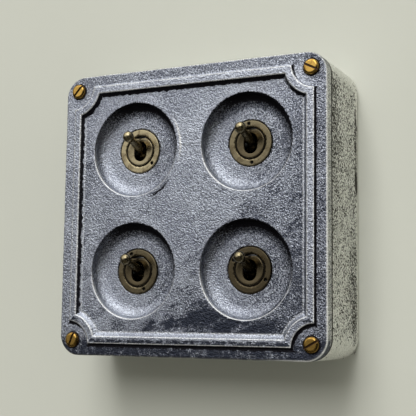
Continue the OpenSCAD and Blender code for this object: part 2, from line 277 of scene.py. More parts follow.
def sheet(curves, keep, spacing=None):
    """Points and triangles over the plan, where keep says so, with edges along every closed curve."""
    drawn = np.concatenate(curves)
    edges, first = [], 0
    for curve in curves:
        edges += [(first + i, first + (i + 1) % len(curve)) for i in range(len(curve))]
        first += len(curve)
    points = drawn
    if spacing:
        low, high = drawn.min(axis=0), drawn.max(axis=0)
        columns, rows = np.arange(low[0], high[0], spacing), np.arange(low[1], high[1], spacing * 0.87)
        x, z = np.meshgrid(columns, rows)
        x[::2] += spacing / 2
        grid = np.stack([x.ravel(), z.ravel()], 1)
        grid += rng.uniform(-0.2, 0.2, grid.shape) * spacing
        grid = grid[keep(grid)]
        tree = KDTree(len(drawn))
        for number, point in enumerate(drawn):
            tree.insert((*point, 0), number)
        tree.balance()
        clear = [tree.find((*point, 0))[2] > 0.6 * spacing for point in grid]
        points = np.concatenate([drawn, grid[np.array(clear)]])
    joined = delaunay_2d_cdt([Vector(point) for point in points], edges, [], 0, 1e-7)
    found, triangles = joined[0], joined[2]
    found, triangles = np.array(found), np.array(triangles)
    return found, triangles[keep(found[triangles].mean(axis=1))]


def new_object(name, data):
    thing = bpy.data.objects.new(name, data)
    bpy.context.scene.collection.objects.link(thing)
    return thing


class Shell:
    """Collects points, as (x, z, h), and faces, and makes one closed mesh of them."""

    def __init__(self):
        self.points = []
        self.faces = []
        self.count = 0

    def add(self, points, faces=()):
        first = self.count
        self.points.append(np.asarray(points, float))
        self.count += len(points)
        self.faces += [tuple(int(first + i) for i in face) for face in faces]
        return first + np.arange(len(points))

    def level(self, outline, h):
        return self.add(np.column_stack([outline, np.broadcast_to(h, len(outline))]))

    def band(self, lower, upper, closed=True):
        """Quads between two rows of equally many points."""
        for i in range(len(lower) if closed else len(lower) - 1):
            j = (i + 1) % len(lower)
            self.faces.append((int(lower[i]), int(lower[j]), int(upper[j]), int(upper[i])))

    def sweep(self, steps):
        """Bands between (outline, height) steps."""
        rows = [self.level(outline, h) for outline, h in steps]
        for lower, upper in zip(rows, rows[1:]):
            self.band(lower, upper)

    def cap(self, curves, keep, h, spacing=None):
        """A sheet at height h, or at the height that h gives for its points."""
        found, triangles = sheet(curves, keep, spacing)
        heights = h(found) if callable(h) else np.full(len(found), h)
        self.add(np.column_stack([found, heights]), triangles)

    def lathe(self, profile, count, place=(0, 0)):
        """Turns (r, h) points round the h axis, and closes the ends that lie on it."""
        rings = [self.level(circle(place, r, count) if r > 0 else [place], h) for r, h in profile]
        for lower, upper in zip(rings, rings[1:]):
            if len(lower) > 1 and len(upper) > 1:
                self.band(lower, upper)
                continue
            tip, ring = sorted((lower, upper), key=len)
            for i in range(count):
                self.faces.append((int(tip[0]), int(ring[i]), int(ring[(i + 1) % count])))

    def build(self, name, material, place=(0, 0)):
        """The mesh object, with its origin at a place in the plan."""
        plan = np.concatenate(self.points)
        world = np.column_stack([plan[:, 0], -plan[:, 2], plan[:, 1]]) * MM
        mesh = bpy.data.meshes.new(name)
        mesh.from_pydata(world.tolist(), [], self.faces)
        work = bmesh.new()
        work.from_mesh(mesh)
        bmesh.ops.remove_doubles(work, verts=work.verts, dist=0.001 * MM)
        bmesh.ops.recalc_face_normals(work, faces=work.faces)
        work.to_mesh(mesh)
        work.free()
        mesh.shade_smooth()
        mesh.materials.append(material)
        thing = new_object(name, mesh)
        thing.location = (place[0] * MM, 0, place[1] * MM)
        return thing


def places_of(thing):
    flat = np.zeros(len(thing.data.vertices) * 3)
    thing.data.vertices.foreach_get("co", flat)
    return flat.reshape(-1, 3)


def plan_of(thing):
    """The (x, z, h) of each of a piece's points."""
    x, y, z = places_of(thing).T / MM
    return np.column_stack([x, z, -y])


def push(thing, distance):
    """Moves each of a piece's points along its normal."""
    places = places_of(thing)
    normals = np.zeros(places.size)
    thing.data.vertex_normals.foreach_get("vector", normals)
    moved = places + normals.reshape(-1, 3) * (distance * MM)[:, None]
    thing.data.vertices.foreach_set("co", moved.ravel())
    thing.data.update()


def paint(thing, key, values):
    """Keeps a value from 0 to 1 with each of a piece's points, or one value with all of them."""
    field = thing.data.attributes.new(key, "FLOAT", "POINT")
    values = np.broadcast_to(np.clip(values, 0, 1), len(thing.data.vertices))
    field.data.foreach_set("value", values.astype(np.float32))


def soften(thing, width, angle=35):
    """Rounds a piece's sharp edges."""
    bevel = thing.modifiers.new("edges", "BEVEL")
    bevel.width = width * MM
    bevel.segments = 2
    bevel.limit_method = "ANGLE"
    bevel.angle_limit = math.radians(angle)
    normals = thing.modifiers.new("normals", "WEIGHTED_NORMAL")
    normals.weight = 100


def fit(thing, body, slot, *nodes):
    """Puts a piece on its body in place of its CAD nodes."""
    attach(thing, body)
    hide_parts(*nodes)


# ---- materials ----

# how far the brass of each switch has browned
BRASS_AGE = {"top_left": 0.1, "top_right": 0.65, "bottom_left": 0.85, "bottom_right": 1.0}
SCREW_AGE = {"top_left": 0.25, "top_right": 0.1, "bottom_left": 0.4, "bottom_right": 0.5}


class Nodes:
    """Makes and links the nodes of one tree."""

    def __init__(self, tree):
        self.tree = tree

    def link(self, source, socket):
        if isinstance(source, bpy.types.NodeSocket):
            self.tree.links.new(source, socket)
        else:
            socket.default_value = source

    def node(self, kind, *inputs, **settings):
        made = self.tree.nodes.new(kind)
        for key, value in settings.items():
            setattr(made, key, value)
        for number, source in enumerate(inputs):
            self.link(source, made.inputs[number])
        return made

    def step(self, source, low, high):
        """0 below low and 1 above high."""
        made = self.node("ShaderNodeMapRange", source, low, high, interpolation_type="SMOOTHSTEP")
        return made.outputs["Result"]


class Recipe(Nodes):
    """A node material around one Principled shader; lengths are in millimetres."""

    def __init__(self, name, **inputs):
        self.material = bpy.data.materials.new(name)
        self.material.use_nodes = True
        super().__init__(self.material.node_tree)
        self.shader = self.tree.nodes["Principled BSDF"]
        self.place = self.node("ShaderNodeTexCoord").outputs["Object"]
        self.set(**inputs)

    def set(self, **inputs):
        """Sets the shader's inputs, such as base_color."""
        for name, source in inputs.items():
            self.link(source, self.shader.inputs[name.replace("_", " ").title().replace("Ior", "IOR")])

    def math(self, operation, *inputs):
        return self.node("ShaderNodeMath", *inputs, operation=operation).outputs[0]

    def value(self, key):
        """A value painted on the piece."""
        return self.node("ShaderNodeAttribute", attribute_name=key).outputs["Fac"]

    def noise(self, size, detail=2.0, stretch=(1, 1, 1), warp=0.0):
        place = self.node("ShaderNodeMapping", self.place, vector_type="POINT")
        place.inputs["Scale"].default_value = stretch
        made = self.node("ShaderNodeTexNoise", place.outputs[0])
        made.inputs["Scale"].default_value = 1 / (size * MM)
        made.inputs["Detail"].default_value = detail
        made.inputs["Distortion"].default_value = warp
        return made.outputs["Fac"]

    def turned(self, size):
        """Fine rings round the piece's own axis, as a lathe leaves them."""
        flat = self.node("ShaderNodeVectorMath", self.place, (1, 0, 1), operation="MULTIPLY").outputs[0]
        r = self.node("ShaderNodeVectorMath", flat, operation="LENGTH").outputs["Value"]
        along = self.node("ShaderNodeSeparateXYZ", self.place).outputs["Y"]
        both = self.node("ShaderNodeCombineXYZ", r, along, 0.0).outputs[0]
        made = self.node("ShaderNodeTexNoise", both)
        made.inputs["Scale"].default_value = 1 / (size * MM)
        return made.outputs["Fac"]

    def between(self, source, low, high):
        """A value from low, where source is 0, to high, where it is 1."""
        return self.node("ShaderNodeMapRange", source, 0, 1, low, high).outputs["Result"]

    def blend(self, share, first, second):
        made = self.node("ShaderNodeMix", data_type="RGBA")
        self.link(share, made.inputs["Factor"])
        for socket, source in (("A", first), ("B", second)):
            colour = source if isinstance(source, bpy.types.NodeSocket) else (*source, 1)
            self.link(colour, next(s for s in made.inputs if s.name == socket and s.type == "RGBA"))
        return next(s for s in made.outputs if s.type == "RGBA")

    def bump(self, height, depth, under=None):
        made = self.node("ShaderNodeBump")
        self.link(height, made.inputs["Height"])
        made.inputs["Distance"].default_value = depth * MM
        if under is not None:
            self.link(under, made.inputs["Normal"])
        return made.outputs["Normal"]


def cast_aluminium(name, clean, dull, stain_and_shade, grain, grime_floor, roughness):
    """Cast metal with a fine grain; painted patina and shade darken it, grime and painted shade stain it,
    and wear and painted highlights make it shine.
    """
    lit_side_colour, tarnish_and_shade_colour, wear_and_highlight_colour = (0.84, 0.84, 0.80), (0.055, 0.062, 0.085), (0.92, 0.93, 0.94)
    mix = Recipe(name, metallic=1.0, specular_ior_level=0.2)
    fine = mix.noise(grain, 3.0, warp=0.3)
    coarse = mix.noise(grain * 2.4, 2.0)
    broad = mix.noise(24, 3.0)
    speckle = mix.step(mix.noise(grain * 0.8, 2.0), 0.36, 0.64)
    shade = mix.math("MULTIPLY_ADD", fine, 0.75, mix.math("MULTIPLY", broad, 0.25))
    metal = mix.blend(mix.step(shade, 0.42, 0.58), dull, clean)
    # the cover's sides take a light, warm colour like the box's, partly a painted reflection of the pale
    # wall
    metal = mix.blend(mix.value("side"), metal, lit_side_colour)
    # tarnish and painted shade, from the painted patina value
    tarnish = mix.step(mix.math("MULTIPLY_ADD", speckle, 0.55, mix.value("patina_and_shade")), 0.40, 1.00)
    metal = mix.blend(tarnish, metal, tarnish_and_shade_colour)
    # wear and painted highlights
    metal = mix.blend(mix.math("MULTIPLY", mix.value("wear_and_highlight"), 0.9), metal, wear_and_highlight_colour)
    # dirt and painted shade, from the painted grime value, with ragged edges
    ragged = mix.math("ADD", mix.value("grime_and_shade"), mix.between(speckle, -0.14, 0.14))
    pocks = mix.step(coarse, grime_floor + 0.09, grime_floor)
    dark = mix.math("MAXIMUM", mix.step(ragged, 0.30, 0.60), pocks)
    mix.set(base_color=mix.blend(dark, metal, stain_and_shade))
    polished = mix.between(mix.value("wear_and_highlight"), roughness, roughness * 0.6)
    rough = mix.math("MULTIPLY_ADD", mix.math("ADD", dark, mix.value("side")), 0.22, polished)
    mix.set(roughness=mix.math("MULTIPLY_ADD", fine, 0.16, rough))
    bare = mix.between(mix.value("wear_and_highlight"), 1.0, 0.35)
    mix.set(metallic=mix.math("MULTIPLY", mix.between(dark, 1.0, 0.35), bare))
    skin = mix.bump(coarse, 0.07)
    skin = mix.bump(fine, 0.5, skin)
    mix.set(normal=mix.bump(dark, -0.05, skin))
    return mix.material


def brass(name, bright, tarnished, brown, tarnish, roughness):
    """Turned brass with fine tool rings, uneven tarnish, and dark dirt and painted shade where they are
    painted on.
    """
    mix = Recipe(name, metallic=1.0)
    cloud = mix.noise(3.2, 4.0, warp=0.6)
    fleck = mix.noise(0.5, 2.0)
    rings = mix.turned(0.16)
    metal = mix.blend(mix.step(cloud, 0.62 - tarnish, 0.86 - tarnish), bright, tarnished)
    metal = mix.blend(mix.value("age"), metal, tuple(0.4 * part for part in tarnished))
    # dirt and painted shade, from the painted grime value
    dirt_and_shade = mix.math("ADD", mix.value("grime_and_shade"), mix.between(fleck, -0.3, 0.3))
    dark = mix.math("MAXIMUM", mix.step(fleck, 0.64, 0.76), mix.step(dirt_and_shade, 0.2, 0.6))
    mix.set(base_color=mix.blend(dark, metal, brown), metallic=mix.between(dark, 1.0, 0.5))
    shine = mix.math("MULTIPLY_ADD", cloud, 0.22, roughness - 0.11)
    mix.set(roughness=mix.math("MULTIPLY_ADD", dark, 0.2, shine))
    skin = mix.bump(rings, 0.02)
    mix.set(normal=mix.bump(cloud, 0.03, skin))
    return mix.material


def plain_metal(name, bright, dull, roughness, grain=0.6):
    """Sheet or plated metal with a faint grain and dull patches."""
    mix = Recipe(name, metallic=1.0)
    cloud = mix.noise(4, 3.0)
    fine = mix.noise(grain, 2.0, stretch=(1, 1, 4))
    mix.set(base_color=mix.blend(mix.step(cloud, 0.4, 0.65), bright, dull))
    mix.set(roughness=mix.math("MULTIPLY_ADD", fine, 0.2, roughness - 0.1))
    mix.set(normal=mix.bump(fine, 0.02))
    return mix.material


def moulded(name, colour, darker, roughness, grain):
    """Moulded plastic or rubber, faintly mottled."""
    mix = Recipe(name, metallic=0.0)
    mottle = mix.noise(2.5, 4.0, warp=0.5)
    fine = mix.noise(grain, 2.0)
    mix.set(base_color=mix.blend(mix.step(mottle, 0.38, 0.66), colour, darker))
    mix.set(roughness=mix.math("MULTIPLY_ADD", fine, 0.15, roughness - 0.07))
    mix.set(normal=mix.bump(fine, 0.03))
    return mix.material


# one cast aluminium in two colours: the face's darker, bluish colour is partly a painted reflection of cool
# light in front, and the box's light, warm colour partly a painted reflection of the pale wall beside it
cast_face = cast_aluminium(
    "cast_aluminium_face",
    clean=(0.62, 0.655, 0.73), dull=(0.33, 0.35, 0.42), stain_and_shade=(0.008, 0.0075, 0.011),
    grain=0.72, grime_floor=0.19, roughness=0.24,
)
cast_side = cast_aluminium(
    "cast_aluminium_box",
    clean=(0.93, 0.93, 0.89), dull=(0.74, 0.74, 0.69), stain_and_shade=(0.050, 0.046, 0.038),
    grain=0.85, grime_floor=0.27, roughness=0.46,
)
old_brass = brass(
    "antique_brass",
    bright=(0.46, 0.39, 0.24), tarnished=(0.24, 0.19, 0.11), brown=(0.016, 0.013, 0.010),
    tarnish=0.16, roughness=0.25,
)
bright_brass = brass(
    "bright_brass",
    bright=(0.66, 0.41, 0.10), tarnished=(0.36, 0.19, 0.04), brown=(0.06, 0.028, 0.010),
    tarnish=0.12, roughness=0.24,
)
plain_brass = plain_metal("plain_brass", (0.72, 0.52, 0.22), (0.48, 0.33, 0.13), 0.30)
zinc_steel = plain_metal("zinc_steel", (0.62, 0.63, 0.64), (0.42, 0.43, 0.44), 0.34)
spring_steel = plain_metal("spring_steel", (0.40, 0.41, 0.43), (0.26, 0.27, 0.29), 0.30, 0.3)
HIDDEN_FINISHES = {
    "cable_grommet": moulded("black_rubber", (0.018, 0.018, 0.018), (0.030, 0.029, 0.028), 0.62, 0.5),
    "earth_": bright_brass,
    "lock_nuts": plain_brass, "common_contact_": plain_brass, "throw_contacts_": plain_brass,
    "tab_washers": zinc_steel, "terminal_screws": zinc_steel,
    "pivot_pin_": zinc_steel, "frame_": zinc_steel,
    "housing_": moulded("brown_bakelite", (0.045, 0.022, 0.012), (0.022, 0.011, 0.007), 0.32, 0.8),
    "rocker_": plain_metal("contact_copper", (0.80, 0.42, 0.26), (0.55, 0.26, 0.15), 0.28),
    "plunger_": moulded("ivory_nylon", (0.62, 0.57, 0.45), (0.52, 0.47, 0.36), 0.40, 0.4),
}


def finish_hidden_nodes():
    """Gives each CAD node that is kept as it is the material of its kind."""
    for name, node in frame["nodes"].items():
        for start, material in HIDDEN_FINISHES.items():
            if name.startswith(start):
                for material_slot in node.material_slots:
                    material_slot.material = material


# ---- front cover ----

def moulding_rise(inset):
    """The moulding's height above the margin: steep outer slope, crowned top and hollow inner slope."""
    outer = inset * MOULDING_RISE / MOULDING_SLOPE_W
    top = MOULDING_RISE - 0.015 * (inset - MOULDING_W / 2) ** 2
    up_hollow = np.clip((MOULDING_W - inset) / MOULDING_HOLLOW_W, 0, 4)
    inner = (MOULDING_RISE + FIELD_DROP) * up_hollow ** 1.8 - FIELD_DROP
    softness = 0.04
    lowest = -softness * np.log(sum(np.exp(-part / softness) for part in (outer, top, inner)))
    outer_end, inner_end = smoothstep(0.3, 0, inset), smoothstep(MOULDING_W - 0.3, MOULDING_W, inset)
    return lowest * (1 - outer_end) * (1 - inner_end) - FIELD_DROP * inner_end


def dish_profile():
    """(r, h) down a dish: its rounded rim, wall, hollow and floor, and the ring's seat down to the hole."""
    rim = [
        (DISH_R + RIM_ROUND * (1 - math.sin(turn)), FIELD_H - RIM_ROUND * (1 - math.cos(turn)))
        for turn in np.radians((0, 22, 45, 67, 90))
    ]
    hollow_r, hollow_h = DISH_R - 0.1 - DISH_HOLLOW_W, DISH_FLOOR_H + DISH_HOLLOW_D
    wall_top = FIELD_H - RIM_ROUND
    wall = [(DISH_R - 0.1 * part, wall_top + (hollow_h - wall_top) * part) for part in (0.33, 0.67)]
    hollow = [
        (hollow_r + DISH_HOLLOW_W * math.cos(turn), hollow_h - DISH_HOLLOW_D * math.sin(turn))
        for turn in np.radians(np.linspace(0, 90, 22))
    ]
    floor = [(r, DISH_FLOOR_H) for r in np.linspace(hollow_r, SEAT_R, 12)[1:]]
    seat_wall = [(SEAT_R, (DISH_FLOOR_H + SEAT_H) / 2)]
    seat = [(r, SEAT_H) for r in (SEAT_R, RING_R - 0.5, BUSH_HOLE_R)]
    return rim + wall + hollow + floor + seat_wall + seat


def front_cover():
    shell = Shell()
    holes = [hole_loop(place, COVER_HOLE_R) for place in SCREW_PLACES]
    dish_edge = DISH_R + RIM_ROUND
    dishes = SWITCH_PLACES.values()

    def clear_of_screws(p):
        return from_screws(p) > COVER_HOLE_R

    def on_margin(p):
        return (moulding_inset(p)[0] < 0) & (case_inset(p) > FRONT_ROUND) & clear_of_screws(p)

    def on_field(p):
        return (moulding_inset(p)[0] > MOULDING_W) & (nearest_dish(p)[0] > dish_edge)

    def on_rim(p):
        metal = (np.abs(p).max(axis=1) > POCKET_HALF) | (from_screws(p) < BOSS_R)
        return (case_inset(p) > JOINT_ROUND) & clear_of_screws(p) & metal

    def in_pocket(p):
        inside = ~on_rim(p) & (case_inset(p) >= JOINT_ROUND + 1) & clear_of_screws(p)
        return inside & (nearest_dish(p)[0] > DISH_SHELL_R)

    shell.cap([case_loop(FRONT_ROUND), moulding_loop(0)] + holes, on_margin, MARGIN_H, GRAIN)
    insets = np.linspace(0, MOULDING_W, 31)
    shell.sweep([(moulding_loop(inset), MARGIN_H + moulding_rise(inset)) for inset in insets])
    dish_edges = [dish_loop(place, dish_edge) for place in dishes]
    shell.cap([moulding_loop(MOULDING_W)] + dish_edges, on_field, FIELD_H, GRAIN)

    front_edge = [(case_loop(inset), MARGIN_H - drop) for inset, drop in quarter_round(FRONT_ROUND, 5)]
    side_hs = np.arange(MARGIN_H - FRONT_ROUND - GRAIN, JOINT_H + 2 * JOINT_ROUND, -GRAIN)
    side = [(case_loop(0), h) for h in side_hs]
    joint_edge = [(case_loop(inset), JOINT_H + rise) for rise, inset in quarter_round(JOINT_ROUND, 2)]
    shell.sweep(front_edge + side + joint_edge)

    shell.cap([case_loop(JOINT_ROUND), inner_loop(POCKET_HALF)] + holes, on_rim, JOINT_H)
    shell.sweep([(inner_loop(POCKET_HALF), h) for h in (JOINT_H, POCKET_TOP_H)])
    for hole in holes:
        shell.sweep([(hole, JOINT_H), (hole, MARGIN_H)])
    shell_edges = [dish_loop(place, DISH_SHELL_R) for place in dishes]
    shell.cap([inner_loop(POCKET_HALF)] + shell_edges, in_pocket, POCKET_TOP_H)
    behind = [(BUSH_HOLE_R, DISH_BACK_H), (DISH_SHELL_R, DISH_BACK_H), (DISH_SHELL_R, POCKET_TOP_H)]
    for place in dishes:
        shell.sweep([(dish_loop(place, r), h) for r, h in dish_profile() + behind])

    cover = shell.build("front_cover_skin", cast_face)
    weather_and_light_cover(cover)
    fit(cover, "case", "cast_aluminium_face", "front_cover")


def weather_and_light_cover(cover):
    """Gives the cover its cast skin, and paints where old polish has left it dark or bright, with painted
    shade and painted highlights where the light falls.
    """
    plan = plan_of(cover)
    inset, inwards = moulding_inset(plan)
    r, angle = nearest_dish(plan)
    h = plan[:, 2]
    in_front = h > JOINT_H + 1
    at_side = case_inset(plan) < JOINT_ROUND
    in_dish = (r < DISH_R + RIM_ROUND) & (h > DISH_BACK_H + 1)
    x, z = plan[:, 0], plan[:, 1]
    on_tool_mark = (x < 0) & (z > 0) & (np.abs(r - TOOL_MARK_R - 0.3 * bumps(plan, 4, 8)) < 0.5)
    scratch = on_tool_mark * hill(angle, -55, 20)
    ridge = on_tool_mark * hill(angle, 10, 34)

    cast = 0.035 * bumps(plan, 0.9, 1) + 0.04 * bumps(plan, 1.6, 2) + 0.03 * bumps(plan, 3.4, 3)
    sag = 0.16 * bumps(plan, 15, 4)
    smooth_floor = np.where(in_dish, 0.6, 1.0)
    near_rim = 1 - 0.8 * hill(r, DISH_R + 0.1, 1.2)
    skin = (cast * smooth_floor * near_rim + sag) * (in_front | in_dish)
    push(cover, skin - 0.16 * scratch + 0.05 * ridge)

    # dirt and painted shade at the feet of the moulding and on the dish walls, heaviest where the slopes
    # face down;
    # painted shade in the rings' seats and round the screw heads; dirt at the joint and in the tool mark
    ragged, fine = bumps(plan, 2.2, 5), bumps(plan, 0.9, 6)
    down, right = -inwards[:, 1], inwards[:, 0]
    # painted shade: these amounts follow the way each slope faces, most where it faces down
    inner_amount = np.clip(0.32 + 0.75 * down + 0.28 * right, 0, 1)
    inner_reach = MOULDING_W - 0.8 + 0.9 * np.maximum(down, 0.45 * right) + 0.8 * ragged
    inner_foot = smoothstep(MOULDING_W - 2.3, MOULDING_W - 1.9, inset)
    inner_foot *= smoothstep(inner_reach, inner_reach - 0.6, inset)
    outer_amount = np.clip(0.38 - 0.62 * down - 0.42 * right, 0.25, 1)
    outer_reach = 0.7 + 1.7 * np.maximum(-down, 0)
    outer_foot = smoothstep(-outer_reach * (1 + 0.5 * ragged), -0.1, inset) * smoothstep(0.95, 0.5, inset)
    facing_down, facing_left = np.sin(np.radians(angle)), np.cos(np.radians(angle))
    dish_amount = np.clip(0.25 + 0.65 * facing_down + 0.35 * facing_left, 0, 1)
    dish_top = np.maximum(facing_down, 0)
    wall_foot, wall_top = 20.2 - 1.2 * dish_top + 0.8 * ragged, 23.6 - 0.4 * dish_top
    dish_wall = in_dish * smoothstep(wall_foot, wall_top, r) * dish_amount
    # painted shade in the seat round each ring and round each screw head
    ring_shade = np.clip(0.5 * facing_down - 0.7 * facing_left, 0.3, 1)
    by_ring = ring_shade * smoothstep(SEAT_R + 1.1, SEAT_R + 0.2, r)
    round_ring = in_dish * np.maximum(h < DISH_FLOOR_H - 0.1, by_ring)
    round_screw = hill(from_screws(plan), HEAD_R + 0.2, 0.9) * 0.8
    at_joint = at_side * smoothstep(JOINT_H + 1.1, JOINT_H + 0.5, h)
    # one value for the dirt and the painted shade
    grime_and_shade = np.maximum.reduce([
        inner_foot * inner_amount * 1.25, outer_foot * outer_amount, dish_wall, round_ring, round_screw,
        scratch * 1.2, at_joint,
    ])
    paint(cover, "grime_and_shade", (grime_and_shade + 0.25 * fine * grime_and_shade) * (in_front | in_dish | at_side))
    # the cover's sides take the box's light, warm colour, partly a painted reflection of the pale wall
    paint(cover, "side", at_side)

    # darker towards the bottom and the right, near the moulding and in clouds and streaks; on the dishes,
    # painted shade on the upper and right walls, which face away from the light
    on_field = in_front & (inset > MOULDING_W) & ~in_dish
    on_margin = (inset < 0) & in_front
    drawn_out = np.column_stack([0.4 * (x + 0.6 * z), z - 0.6 * x, h])
    streaks = bumps(drawn_out, 5, 9) + 0.5 * bumps(drawn_out, 1.7, 10)
    field_patina = 0.15 * smoothstep(MOULDING_W + 12, MOULDING_W, inset)
    field_patina += 0.32 * smoothstep(10, 55, x - 0.5 * z)
    foot_of_field = 0.5 * hill(x, 5, 62) * smoothstep(-40, -58, z) * (0.8 + 1.5 * streaks)
    margin_patina = 0.1 + 0.6 * smoothstep(-62, -70, z) * (1 + 0.8 * ragged)
    margin_patina += 0.3 * smoothstep(60, 72, x) + 0.27 * smoothstep(64, 72, z)
    clouds = 0.2 * smoothstep(-0.1, 0.5, bumps(plan, 13, 7)) + 0.28 * smoothstep(0.0, 0.6, streaks)
    clouds *= smoothstep(75, 0, z)
    # painted shade on the right and upper walls of each dish, which face away from the light
    dish_patina = 0.18 + 0.1 * smoothstep(-10, 20, x) + 0.15 * facing_left + 0.12 * streaks
    dish_patina += 0.4 * dish_top * smoothstep(16, 22, r)
    foot_of_moulding = smoothstep(0.6, 1.0, inset) * smoothstep(3.6, 2.6, inset)
    foot_of_moulding *= smoothstep(0.85, 1, -down) * (0.7 + ragged)
    patina_and_shade = on_field * (field_patina + foot_of_field + clouds) + on_margin * (margin_patina + 0.4 * clouds)
    paint(cover, "patina_and_shade", patina_and_shade + in_dish * dish_patina + foot_of_moulding)

    # edges rubbed bright, and painted highlights on the lower rims of the dishes and at the moulding's
    # inner foot
    # painted highlight on the lower half of each dish's rim
    lit_rim = in_dish * hill(r, DISH_R + 0.15, 0.45) * smoothstep(0.3, -0.5, facing_down)
    top_edges = np.maximum(hill(inset, 0.95, 0.45), hill(inset, MOULDING_W - MOULDING_HOLLOW_W, 0.5))
    # painted highlight at the moulding's inner foot, except along the top
    inner_foot_highlight = hill(inset, MOULDING_W + 0.1, 0.45) * smoothstep(0.4, -0.2, down)
    moulding_lines = (top_edges + 0.8 * inner_foot_highlight) * (0.85 + 0.6 * ragged)
    front_edge = hill(case_inset(plan), 0.3, 0.6) * (h > MARGIN_H - 1)
    front_edge *= 0.2 + 0.8 * smoothstep(50, 74, x - 0.2 * z)
    paint(cover, "wear_and_highlight", np.maximum.reduce([lit_rim, moulding_lines, front_edge, ridge]))


# ---- back box ----

def back_box():
    shell = Shell()
    inner_half = CASE_HALF - BOX_WALL
    threads = [hole_loop(place, THREAD_R) for place in SCREW_PLACES]
    wall_holes = [hole_loop(place, FIXING_R) for place in FIXING_PLACES] + [hole_loop(ENTRY_PLACE, ENTRY_R)]
    earth_boss = hole_loop(EARTH_PLACE, EARTH_BOSS_R)

    def clear_of_wall_holes(p):
        fixings = [distance_from(p, place) > FIXING_R for place in FIXING_PLACES]
        return np.all(fixings + [distance_from(p, ENTRY_PLACE) > ENTRY_R], axis=0)

    def on_rim(p):
        to_screw = from_screws(p)
        metal = (np.abs(p).max(axis=1) > inner_half) | (to_screw < BOSS_R)
        return (case_inset(p) > JOINT_ROUND) & (to_screw > THREAD_R) & metal

    def on_floor(p):
        inside = (np.abs(p).max(axis=1) < inner_half) & (from_screws(p) > BOSS_R)
        return inside & clear_of_wall_holes(p) & (distance_from(p, EARTH_PLACE) > EARTH_BOSS_R)

    rear_edge = [(case_loop(inset), rise) for inset, rise in quarter_round(REAR_ROUND, 8)]
    side = [(case_loop(0), h) for h in np.arange(REAR_ROUND + GRAIN, JOINT_H - 2 * JOINT_ROUND, GRAIN)]
    joint_edge = [(case_loop(inset), JOINT_H - drop) for drop, inset in quarter_round(JOINT_ROUND, 2)]
    shell.sweep(rear_edge + side + joint_edge)
    shell.cap([case_loop(REAR_ROUND)] + wall_holes, clear_of_wall_holes, 0, 2.0)
    shell.cap([case_loop(JOINT_ROUND), inner_loop(inner_half)] + threads, on_rim, JOINT_H)
    shell.sweep([(inner_loop(inner_half), JOINT_H), (inner_loop(inner_half), BOX_WALL)])
    shell.cap([inner_loop(inner_half), earth_boss] + wall_holes, on_floor, BOX_WALL)
    for hole in wall_holes:
        shell.sweep([(hole, 0), (hole, BOX_WALL)])
    for place in SCREW_PLACES:
        shell.lathe([(THREAD_R, JOINT_H), (THREAD_R, THREAD_END_H), (0, THREAD_END_H)], 36, place)
    boss = [(EARTH_BOSS_R, BOX_WALL), (EARTH_BOSS_R, EARTH_BOSS_H), (THREAD_R, EARTH_BOSS_H)]
    shell.lathe(boss + [(THREAD_R, BOX_WALL / 2), (0, BOX_WALL / 2)], 36, EARTH_PLACE)

    box = shell.build("back_box_skin", cast_side)
    weather_box(box)
    fit(box, "case", "cast_aluminium_box", "back_box")


def weather_box(box):
    """Pits the outside of the box, densely in the middle of each side and hardly near its ends."""
    plan = plan_of(box)
    h = plan[:, 2]
    outside = case_inset(plan) < REAR_ROUND
    along = np.sort(np.abs(plan[:, :2]), axis=1)[:, 0]
    drawn_out = plan * (1, 1, 0.8)
    clusters = bumps(plan, 6, 11)
    share_up = smoothstep(-50, 30, plan[:, 1])
    by_joint = smoothstep(JOINT_H - 16, JOINT_H - 4, h) * share_up
    by_wall = smoothstep(22, 8, h) * (1 - share_up)
    zone = smoothstep(2.5, 7, h) * smoothstep(JOINT_H, JOINT_H - 2, h)
    zone *= smoothstep(70, 60, along + 5 * clusters) * (0.55 + 0.5 * np.maximum(by_joint, by_wall))
    pitted = bumps(drawn_out, 0.85, 12) + 0.5 * bumps(plan, 0.6, 13)
    pits = smoothstep(0.0, 0.2, pitted + 0.25 * clusters + 0.5 * zone - 0.40) * smoothstep(0, 0.3, zone)
    wave = 0.08 * bumps(plan, 20, 14) + 0.02 * bumps(plan, 2.5, 15) + 0.012 * bumps(plan, 0.9, 16)
    flaw = (plan[:, 0] > 0) * hill(plan[:, 1], 19, 2.0) * hill(h, 5.8, 1.1)
    push(box, (wave - 0.14 * pits - 0.9 * flaw) * outside)
    upper_half = smoothstep(0, 12, plan[:, 1]) * smoothstep(60, 45, plan[:, 1])
    rear_stain = hill(h, 5, 4) * (0.55 * upper_half + 0.5 * smoothstep(0.1, 0.5, bumps(plan, 9, 17)))
    joint_stain = smoothstep(JOINT_H - 1.4, JOINT_H - 0.6, h)
    paint(box, "grime_and_shade", np.maximum.reduce([pits, rear_stain, joint_stain, 1.5 * flaw]) * outside)
    paint(box, "patina_and_shade", 0.3 * zone * outside)


# ---- brass ----

